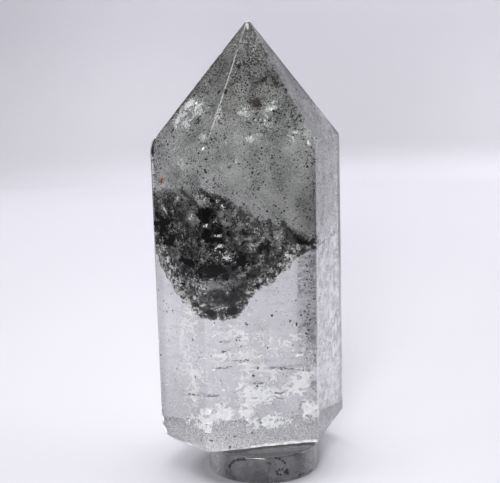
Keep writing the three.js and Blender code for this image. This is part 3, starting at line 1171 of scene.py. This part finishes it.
def copyShape(name, shape, lots, seed):
    rng = np.random.default_rng(seed)
    points, sides = shape
    allPoints, allTones = [], []
    for lot in lots:
        within = isInside(lot["places"], 0.75 * lot["sizes"].max())
        count = within.sum()
        turns = randomTurns(rng, count) if lot["turns"] is None else lot["turns"][within]
        uneven = rng.uniform(0.6, 1.4, size=(count, 1, 3)) * points * np.array(lot["stretch"])
        turned = np.einsum("nij,nkj->nki", turns, uneven)
        sizes, places = lot["sizes"][within], lot["places"][within]
        allPoints.append(turned * sizes[:, None, None] + places[:, None, :])
        allTones.append(lot["tones"][within])
    placed, tone = np.concatenate(allPoints), np.concatenate(allTones)
    used = np.unique(tone)
    copies = (np.arange(len(placed)) * len(points))[:, None, None] + sides
    placed = (placed + corner) * mm
    mesh = bpy.data.meshes.new(name)
    mesh.from_pydata(placed.reshape(-1, 3).tolist(), [], copies.reshape(-1, 3).tolist())
    slots = np.repeat(np.searchsorted(used, tone), len(sides)).astype(np.int32)
    mesh.polygons.foreach_set("material_index", slots)
    for number in used:
        mesh.materials.append(list(tones.values())[number])
    piece = bpy.data.objects.new(name, mesh)
    bpy.context.scene.collection.objects.link(piece)
    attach(piece, "root")
    print(name + ":", len(placed), "copies,", len(mesh.polygons), "faces")
    return piece


# The fog over the cloud: pale grains that thin out towards the right face.
fog = {
    "seed": 21,
    "pieces": 2,
    "count": 49000,  # in each piece
    "size": (0.12, 0.26),
    "skin": 0.7,
    "box": ((-8, 0, 34), (30, 26, 76)),
    "shares": {"chloriteGrey": 0.06, "fogGrey": 0.34, "fogPale": 0.6},
    "patch": 3,
}


def fogKeep(p):
    above = p[:, 2] - cloudLimit(p, "high")
    right = faces["right"]["at"] - p @ faces["right"]["out"]
    thick = np.clip((above + 3) / 5, 0, 1) * np.clip(0.25 + right / 7, 0, 1)
    return thick * np.clip(0.65 + 0.9 * noiseAt(p, 3.5), 0.05, 1)


def addFog(number):
    rng = np.random.default_rng(fog["seed"] + number)
    places = randomInside(rng, fog["count"], fog["box"], fog["skin"], fogKeep)
    lot = lotOf(rng, places, fog["size"], fog["shares"], patch=fog["patch"])
    copyShape(f"chloriteFog{number}", grainShape, [lot], fog["seed"] + number)


for fogNumber in range(fog["pieces"]):
    addFog(fogNumber)

# The cloud's own grains: a ragged lower rim, a loose skin, dark cores and streaks.
grains = {
    "seed": 41,
    "skinShares": {"chloriteBlack": 0.5, "chloriteGrey": 0.3, "fogGrey": 0.14, "veilWhite": 0.06},
    "rimShares": {
        "chloriteBlack": 0.34, "chloriteGrey": 0.16, "fogGrey": 0.2, "fogPale": 0.18, "veilWhite": 0.12,
    },
    "coreShares": {"chloriteBlack": 0.92, "chloriteGrey": 0.08},
    "coreSize": (0.15, 0.45),
    "coreDepth": 0.9,
    "box": ((-7, 0, 22), (21, 14, 51)),
    "skin": 0.3,
    "skinCount": 15000,
    "skinSize": (0.16, 0.5),
    "skinDepth": 2.6,
    "rimCount": 9000,
    "rimSize": (0.25, 0.6),
    "rimHeight": 2.1,
    "cores": (  # pixel path, spread, count
        (((200, 274), (216, 276), (232, 272)), 0.5, 1500), (((238, 266), (250, 260)), 0.6, 500),
        (((167, 205), (168, 228), (172, 236)), 0.6, 1400), (((208, 212), (212, 232)), 0.6, 900),
        (((214, 198), (226, 206)), 0.4, 500), (((285, 232), (296, 241), (316, 243)), 0.3, 700),
        (((228, 313), (236, 311)), 0.35, 500), (((205, 314), (218, 316)), 0.35, 400),
    ),
    "streaks": (
        (((181, 190), (197, 205)), 0.22, 260), (((201, 190), (213, 199), (226, 205)), 0.22, 300),
        (((239, 212), (250, 222), (262, 234)), 0.25, 320), (((269, 221), (273, 241)), 0.2, 200),
        (((281, 221), (288, 230), (295, 240)), 0.22, 260), (((256, 218), (262, 236)), 0.2, 160),
    ),
}


def addGrains():
    rng = np.random.default_rng(grains["seed"])
    box, least = grains["box"], grains["skin"]

    def faceDepth(p):
        return np.minimum(*(faces[name]["at"] - p @ faces[name]["out"] for name in ("front", "left")))

    def keepSkin(p):
        within = (p[:, 2] > cloudLimit(p, "low") + 0.3) & (faceDepth(p) < grains["skinDepth"])
        over = p[:, 2] - cloudLimit(p, "high") + 3 * noiseAt(p * np.array([1.4, 1.4, 0.5]), 1.6, 3)
        return within * np.clip((1 - over) / 3, 0, 1) * np.clip(0.4 + 2 * noiseAt(p, 2.2, 5), 0.02, 1)

    def keepRim(p):
        over = p[:, 2] - cloudLimit(p, "low") + 0.7 * noiseAt(p, 1.1, 9)
        within = (over > 0) & (over < grains["rimHeight"]) & (faceDepth(p) < grains["skinDepth"])
        return within * np.clip(0.8 + 1.2 * noiseAt(p, 0.9, 2), 0.2, 1)

    skin = randomInside(rng, grains["skinCount"], box, least, keepSkin)
    rim = randomInside(rng, grains["rimCount"], box, least, keepRim)
    lots = [
        lotOf(rng, skin, grains["skinSize"], grains["skinShares"], patch=1.6),
        lotOf(rng, rim, grains["rimSize"], grains["rimShares"], patch=0.7),
    ]
    for pixels, spread, count in grains["cores"] + grains["streaks"]:
        places = alongPath(rng, pixels, grains["coreDepth"], spread, count)
        lots.append(lotOf(rng, places, grains["coreSize"], grains["coreShares"]))
    copyShape("chloriteGrains", grainShape, lots, grains["seed"])


addGrains()

# Specks and rust spots that are seen one by one.
spots = {
    "seed": 51,
    "black": {"chloriteBlack": 0.8, "chloriteGrey": 0.2},
    "dull": {"chloriteBlack": 0.2, "chloriteGrey": 0.5, "fogGrey": 0.3},
    "pale": {"chloriteGrey": 0.6, "fogGrey": 0.4},
    "skin": 0.3,
    "upperCount": 3600,
    "upperSize": (0.12, 0.42),
    "upperBox": ((-8, 0, 38), (30, 26, 76)),
    "lowerCount": 420,
    "lowerSize": (0.1, 0.32),
    "lowerBox": ((-8, 0, 0), (30, 26, 46)),
    "patchDepth": 0.9,
    "patchSize": (0.2, 0.45),
    "fleckDepth": 0.6,
    "fleckSize": (0.2, 0.36),
    "fleckStretch": (2.2, 0.5, 0.5),
    "fleckGrains": 7,  # in each millimetre of its length, and no fewer in all than the lone ones
    "loneGrains": 4,
    "loneSize": (0.2, 0.42),
    "crackGrains": 160,
    "crackDepth": 0.5,
    "crackSize": (0.12, 0.3),
    "rust": (  # pixel path, depth, spread, count, size range, tones
        (((256.5, 103.5),), 0.5, 0.36, 190, (0.2, 0.5), {"rustBrown": 0.8, "chloriteBlack": 0.2}),
        (((246, 102), (253, 101)), 0.45, 0.14, 24, (0.15, 0.3), {"rustBrown": 1}),
        (((261, 83), (263, 80)), 0.45, 0.2, 34, (0.2, 0.42), {"rustBrown": 0.8, "chloriteBlack": 0.2}),
        (((276, 82.5),), 0.45, 0.25, 30, (0.2, 0.42), {"rustBrown": 1}),
        (((237, 67), (239, 66)), 0.45, 0.16, 12, (0.15, 0.3), {"rustBrown": 1}),
        (((245, 71), (250, 72)), 0.45, 0.14, 16, (0.15, 0.3), {"rustBrown": 1}),
        (((218.4, 92.4),), 0.45, 0.16, 24, (0.2, 0.4), {"chloriteBlack": 1}),
        (((225.6, 92.4),), 0.45, 0.18, 30, (0.2, 0.42), {"chloriteBlack": 1}),
        (((160, 183), (163, 178)), 0.45, 0.22, 60, (0.2, 0.42), {"rustOrange": 0.8, "rustBrown": 0.2}),
    ),
    "darkPatches": (  # pixel path, spread, count
        (((196, 118), (200, 121)), 0.5, 30), (((258, 56), (250, 60)), 0.8, 110),
        (((235, 75), (232, 82)), 0.6, 40), (((296, 118), (288, 102)), 0.7, 60),
        (((222, 72), (208, 76)), 0.7, 40), (((308, 258), (310, 300), (308, 362)), 0.8, 80),
    ),
    "flecks": (  # pixel path of one dark fleck
        ((216, 368.5), (231, 367.5)), ((271, 367.5), (299, 369.5)), ((234, 361.5), (250, 359.5)),
        ((252.5, 383.5), (263, 383)), ((189.5, 394), (199, 395.5)), ((205.5, 395.5), (219, 396)),
        ((274, 393.5), (283, 393)), ((275, 397.5), (283, 398.5)), ((323, 337), (324.5, 342)),
        ((325, 348), (322.5, 354)), ((328.5, 252), (327, 258)), ((321, 388), (322.5, 383)),
        ((324, 393), (322.5, 399)), ((332.5, 322), (333, 325)), ((220, 342), (223, 341)),
        ((222, 351.5), (227, 352.5)),
    ),
    "lone": (
        (201.3, 440), (211.6, 440.6), (230, 446.9), (251.8, 433.2), (235, 435.9), (261.2, 422.5),
        (245.8, 322.7), (271.9, 315.6), (267.9, 348.2), (253.2, 375.6), (257.9, 386.3), (192.9, 339.7),
        (195.6, 376.3), (236.4, 340), (257.9, 367.6), (246.8, 324.5), (290, 321), (296, 324),
    ),
    "crack": ((318.5, 246), (323, 241.5), (330, 237), (338.5, 230.5)),
}


def addSpots():
    rng = np.random.default_rng(spots["seed"])
    black, dull, depth = spots["black"], spots["dull"], spots["fleckDepth"]

    def nearFaces(p):
        return np.clip(1.3 - (ats[None, :] - p @ outs.T).min(axis=1) / 1.2, 0.03, 1)

    def keepUpper(p):
        above = np.clip((p[:, 2] - cloudLimit(p, "high")) / 2, 0, 1)
        return above * nearFaces(p) * np.clip(0.25 + 1.5 * noiseAt(p, 3, 4), 0.05, 1)

    def keepLower(p):
        below = (p[:, 2] < cloudLimit(p, "low")) & (p[:, 2] > 2)
        return below * nearFaces(p) * np.clip(0.2 + 1.5 * noiseAt(p, 4, 6), 0.05, 1)

    upper = randomInside(rng, spots["upperCount"], spots["upperBox"], spots["skin"], keepUpper)
    lower = randomInside(rng, spots["lowerCount"], spots["lowerBox"], spots["skin"], keepLower)
    lots = [lotOf(rng, upper, spots["upperSize"], black), lotOf(rng, lower, spots["lowerSize"], black)]
    for pixels, rustDepth, spread, count, sizes, shares in spots["rust"]:
        lots.append(lotOf(rng, alongPath(rng, pixels, rustDepth, spread, count), sizes, shares))
    for pixels, spread, count in spots["darkPatches"]:
        places = alongPath(rng, pixels, spots["patchDepth"], spread, count)
        lots.append(lotOf(rng, places, spots["patchSize"], black))
    for pixels in spots["flecks"]:
        start, out = seenAt(pixels[0], depth)
        way = seenAt(pixels[-1], depth)[0] - start
        count = max(spots["loneGrains"], int(spots["fleckGrains"] * np.linalg.norm(way)))
        turns = linedTurns(rng, count, way / np.linalg.norm(way), out, 0.12)
        places = alongPath(rng, pixels, depth, 0.13, count)
        lots.append(lotOf(rng, places, spots["fleckSize"], dull, turns, spots["fleckStretch"]))
    for pixel in spots["lone"]:
        places = alongPath(rng, (pixel,), depth, 0.08, spots["loneGrains"])
        lots.append(lotOf(rng, places, spots["loneSize"], black))
    places = alongPath(rng, spots["crack"], spots["crackDepth"], 0.1, spots["crackGrains"])
    lots.append(lotOf(rng, places, spots["crackSize"], spots["pale"]))
    copyShape("chloriteSpecks", lumpShape, lots, spots["seed"])


addSpots()

# Milky veils: wispy sheets of tiny bubbles in the lower part.
veils = {
    "seed": 31,
    "flake": (0.12, 0.42),
    "patches": (  # pixel path, spread along and up, depth, count
        (((190, 322), (188, 340)), 0.9, 2.4, 1.2, 900),
        (((184, 360), (198, 392)), 1.0, 2.2, 1.3, 1500),
        (((190, 405), (203, 418)), 1.2, 1.6, 1.2, 800),
        (((226, 334), (240, 340)), 1.2, 0.9, 1.4, 600),
        (((222, 354), (236, 358)), 1.2, 0.7, 1.2, 500),
        (((262, 345), (266, 362)), 1.3, 1.3, 2.6, 500),
        (((274, 376), (300, 382)), 1.4, 0.9, 1.2, 1100),
        (((224, 396), (252, 402), (284, 398)), 1.6, 1.3, 1.4, 3600),
        (((222, 410), (250, 416), (276, 416)), 1.4, 1.0, 1.0, 2600),
        (((296, 392), (312, 408)), 1.2, 1.4, 1.4, 1300),
        (((322, 380), (330, 400)), 0.8, 2.4, 0.9, 700),
        (((324, 256), (330, 290)), 0.9, 3.0, 0.8, 300),
        (((323, 320), (328, 350)), 0.9, 3.0, 0.8, 300),
        (((236, 365), (262, 372)), 1.6, 0.8, 2.0, 900),
        (((290, 340), (300, 352)), 1.0, 0.9, 1.0, 260),
    ),
    "tries": 7,  # places tried and kept for each one counted above
    "kept": 1.6,
    "shares": {"silver": 0.6, "veilWhite": 0.4},
    "scatter": 0.3,
    "looseCount": 3600,
    "looseScatter": 0.4,
    "looseBox": ((-8, 0, 0.3), (30, 26, 46)),
    "looseSkin": 0.3,
    "looseBand": ((0, 4, 7, 14, 20, 40), (0.02, 0.2, 1, 0.8, 0.5, 0.3)),  # heights, and how many there
    "middle": (260, 380),  # seen place in the middle of the lower part
    "flatter": (1, 1, 1.7),
}


def wispsAt(places, size):
    # highest along thin curled sheets
    curled = noiseAt(places * np.array(veils["flatter"]), size, 12)
    return 0.5 * noiseAt(places, 2.2 * size, 13) - np.abs(curled)


def veilAt(rng, pixels, across, up, depth, count):
    # the flakes of one veil, kept where its sheets are thickest
    out = seenAt(pixels[0], depth)[1]
    tries = veils["tries"] * count
    places = alongPath(rng, pixels, depth, 0.001, tries)
    places += rng.normal(scale=across, size=(tries, 1)) * np.cross([0, 0, 1], out)
    places += rng.normal(scale=up, size=(tries, 1)) * np.array([0, 0, 1])
    places -= np.outer(0.9 * noiseAt(places, 2.2, 8) + rng.normal(scale=0.1, size=tries), out)
    wisps = wispsAt(places, 1.5) + rng.normal(scale=0.03, size=tries)
    places = places[np.argsort(-wisps)[:int(veils["kept"] * count)]]
    turns = facingTurns(rng, len(places), mirrorWay(pixels[0]), veils["scatter"])
    return lotOf(rng, places, veils["flake"], veils["shares"], turns)


def addVeils():
    rng = np.random.default_rng(veils["seed"])
    lots = [veilAt(rng, *patch) for patch in veils["patches"]]

    def keep(p):
        z = p[:, 2]
        below = np.clip((cloudLimit(p, "low") - z) / 2, 0, 1)
        band = np.interp(z, *veils["looseBand"])
        return below * band * np.clip(2.4 * noiseAt(p * np.array(veils["flatter"]), 2.4, 7) - 0.1, 0, 1)

    loose = randomInside(rng, veils["looseCount"], veils["looseBox"], veils["looseSkin"], keep)
    turns = facingTurns(rng, len(loose), mirrorWay(veils["middle"]), veils["looseScatter"])
    lots.append(lotOf(rng, loose, veils["flake"], veils["shares"], turns))
    copyShape("milkyVeils", flakeShape, lots, veils["seed"])


addVeils()

# Bright flakes: mirror-like cracks above and in the cloud, mirror flakes under the tip that stand in for
# its highlight, and dust on the cut base.
brights = {
    "seed": 61,
    "crowd": 1.8,  # flakes for each one counted in the lists, of the places tried for it
    "size": (0.1, 0.36),
    "depth": (0.36, 0.6),
    "tries": 9,
    "scatter": 0.22,
    "shares": {"sparkle": 0.8, "veilWhite": 0.2},
    "sparkles": (  # pixel path, spread, count
        (((192, 102), (184, 110), (176, 122)), 0.55, 520), (((201, 111), (196, 104)), 0.5, 160),
        (((183, 126), (188, 122)), 0.5, 130), (((240, 114), (246, 112)), 0.5, 90),
        (((268, 110), (275, 104)), 0.45, 120), (((251, 138), (254, 145)), 0.4, 70),
        (((288, 136), (296, 130)), 0.5, 44), (((203, 135), (205, 139)), 0.3, 60),
        (((219, 108), (216, 117)), 0.35, 60), (((250, 44), (256, 50)), 0.5, 14),
        (((262, 120), (270, 126)), 0.6, 60), (((176, 160), (184, 166)), 0.5, 60),
        # the next four trace the bright lines on the right shoulder's edges: mirror flakes that stand in
        # for edge highlights
        (((318.5, 139.2), (326, 137.4), (333, 136.6)), 0.03, 50),
        (((326, 131), (328, 135)), 0.12, 14), (((308.3, 141.5), (310, 145)), 0.12, 20),
        (((314, 138), (316.5, 136)), 0.1, 14),
    ),
    "glints": (  # pixel path, spread, count
        (((216, 199), (218, 201)), 0.12, 26), (((222, 207), (225, 206)), 0.12, 30),
        (((161, 204), (168, 215)), 0.12, 40), (((202, 225), (207, 225)), 0.14, 18),
        (((212, 236), (221, 236)), 0.12, 34), (((218, 246), (222, 247)), 0.14, 26),
        (((225, 258), (230, 261)), 0.18, 44), (((250, 245), (260, 244)), 0.1, 40),
        (((246, 178), (248, 179)), 0.22, 14), (((236, 161), (237, 163)), 0.2, 9),
        (((165, 215), (185, 245)), 0.8, 90), (((205, 250), (240, 262)), 0.8, 70),
        (((185, 282), (225, 286)), 0.9, 90),
    ),
    "tip": ((247.5, 24), (247.5, 29)),
    "tipCount": 90,
    "tipSize": (0.1, 0.24),
    "tipScatter": 0.15,
    "footCount": 25000,
    "footSize": (0.06, 0.14),
    "footBox": ((-8, 0, 0.1), (30, 26, 4)),
    "footSkin": 0.15,
    "footScatter": 0.15,
    "footShares": {"fogPale": 0.15, "veilWhite": 0.85},
    "footMiddle": (262, 432),  # where the base is seen through the front face
}


def clusterAt(rng, pixels, spread, count):
    # one cluster of bright flakes just under the face
    places = alongPath(rng, pixels, 0.5, 1.2 * spread, brights["tries"] * count)
    clumps = wispsAt(places, 0.4) + rng.normal(scale=0.08, size=len(places))
    places = places[np.argsort(-clumps)[:int(brights["crowd"] * count)]]
    places = layUnder(places, pixels[0], rng.uniform(*brights["depth"], size=len(places)))
    turns = facingTurns(rng, len(places), mirrorWay(pixels[0]), brights["scatter"])
    return lotOf(rng, places, brights["size"], brights["shares"], turns)


def addBrights():
    rng = np.random.default_rng(brights["seed"])
    lots = [clusterAt(rng, *cluster) for cluster in brights["sparkles"] + brights["glints"]]
    # mirror flakes under the tip, turned to mirror the front lamp: a stand-in for the tip's highlight
    tip, count = brights["tip"], brights["tipCount"]
    turns = facingTurns(rng, count, mirrorWay(tip[0]), brights["tipScatter"])
    tipHighlightFlakes = alongPath(rng, tip, 0.5, 0.12, count)
    lots.append(lotOf(rng, tipHighlightFlakes, brights["tipSize"], {"sparkle": 1}, turns))

    def keepFoot(p):
        # on the base, and thinner towards the back
        away = p[:, 1]
        height = 0.25 + 0.05 * np.clip(away, 0, 20)
        return np.exp(-p[:, 2] / height) * np.clip(1.2 - away / 20, 0.15, 1)

    foot = randomInside(rng, brights["footCount"], brights["footBox"], brights["footSkin"], keepFoot)
    turns = facingTurns(rng, len(foot), mirrorWay(brights["footMiddle"]), brights["footScatter"])
    lots.append(lotOf(rng, foot, brights["footSize"], brights["footShares"], turns))
    copyShape("brightFlakes", flakeShape, lots, brights["seed"])


addBrights()
